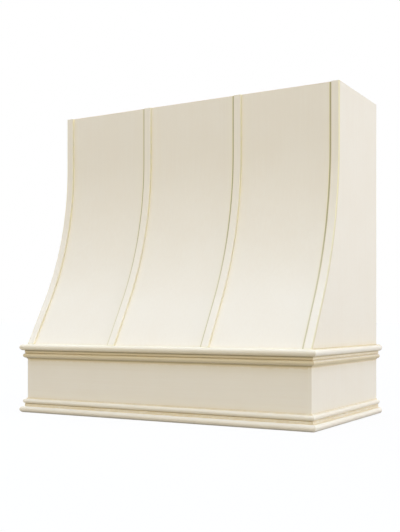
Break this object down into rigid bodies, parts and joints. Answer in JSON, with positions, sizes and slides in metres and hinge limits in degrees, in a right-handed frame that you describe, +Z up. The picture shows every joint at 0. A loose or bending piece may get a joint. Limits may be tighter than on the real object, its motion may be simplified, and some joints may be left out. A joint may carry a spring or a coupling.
{
  "type": "range hood cover",
  "caption": "Painted wooden kitchen range hood cover: a front that sweeps back to a shallow top, flat straps, and profiled mouldings round a straight apron.",
  "frame": {"origin": "on the wall plane, in the middle of the width, at the height of the bottom edge", "axes": "+X to the right as seen from the front, +Y into the wall, +Z up; the front faces -Y"},
  "size_m": [0.9494, 0.5128, 0.9144],
  "materials": {
    "side_panel": "painted antique white with a tan glaze outside, bare birch plywood inside",
    "front_skin": "painted antique white in front, bare bending plywood behind",
    "strap": "painted antique white with tan glaze along the edges",
    "apron": "painted antique white in front, bare plywood behind",
    "moulding": "painted antique white with tan glaze in the recesses",
    "rail": "bare planed poplar",
    "rib": "bare birch plywood",
    "cleat": "bare planed poplar",
    "glue_block": "bare sawn poplar",
    "screw": "zinc plated"
  },
  "bodies": {
    "root": {"left_side_panel": "side_panel", "right_side_panel": "side_panel", "curved_front_panel": "front_skin", "outer_strap_left": "strap", "inner_strap_1": "strap", "inner_strap_2": "strap", "outer_strap_right": "strap", "apron_front": "apron", "top_moulding_front": "moulding", "top_moulding_left": "moulding", "top_moulding_right": "moulding", "bottom_moulding_front": "moulding", "bottom_moulding_left": "moulding", "bottom_moulding_right": "moulding", "rib_1": "rib", "rib_2": "rib", "top_front_rail": "rail", "upper_hanging_rail": "rail", "lower_hanging_rail": "rail", "front_sill": "rail", "liner_cleat_front": "cleat", "liner_cleat_rear": "cleat", "liner_cleat_left": "cleat", "liner_cleat_right": "cleat", "corner_block_left": "glue_block", "corner_block_right": "glue_block", "pocket_screws": "screw", "cleat_screws": "screw"}
  },
  "joints": []
}
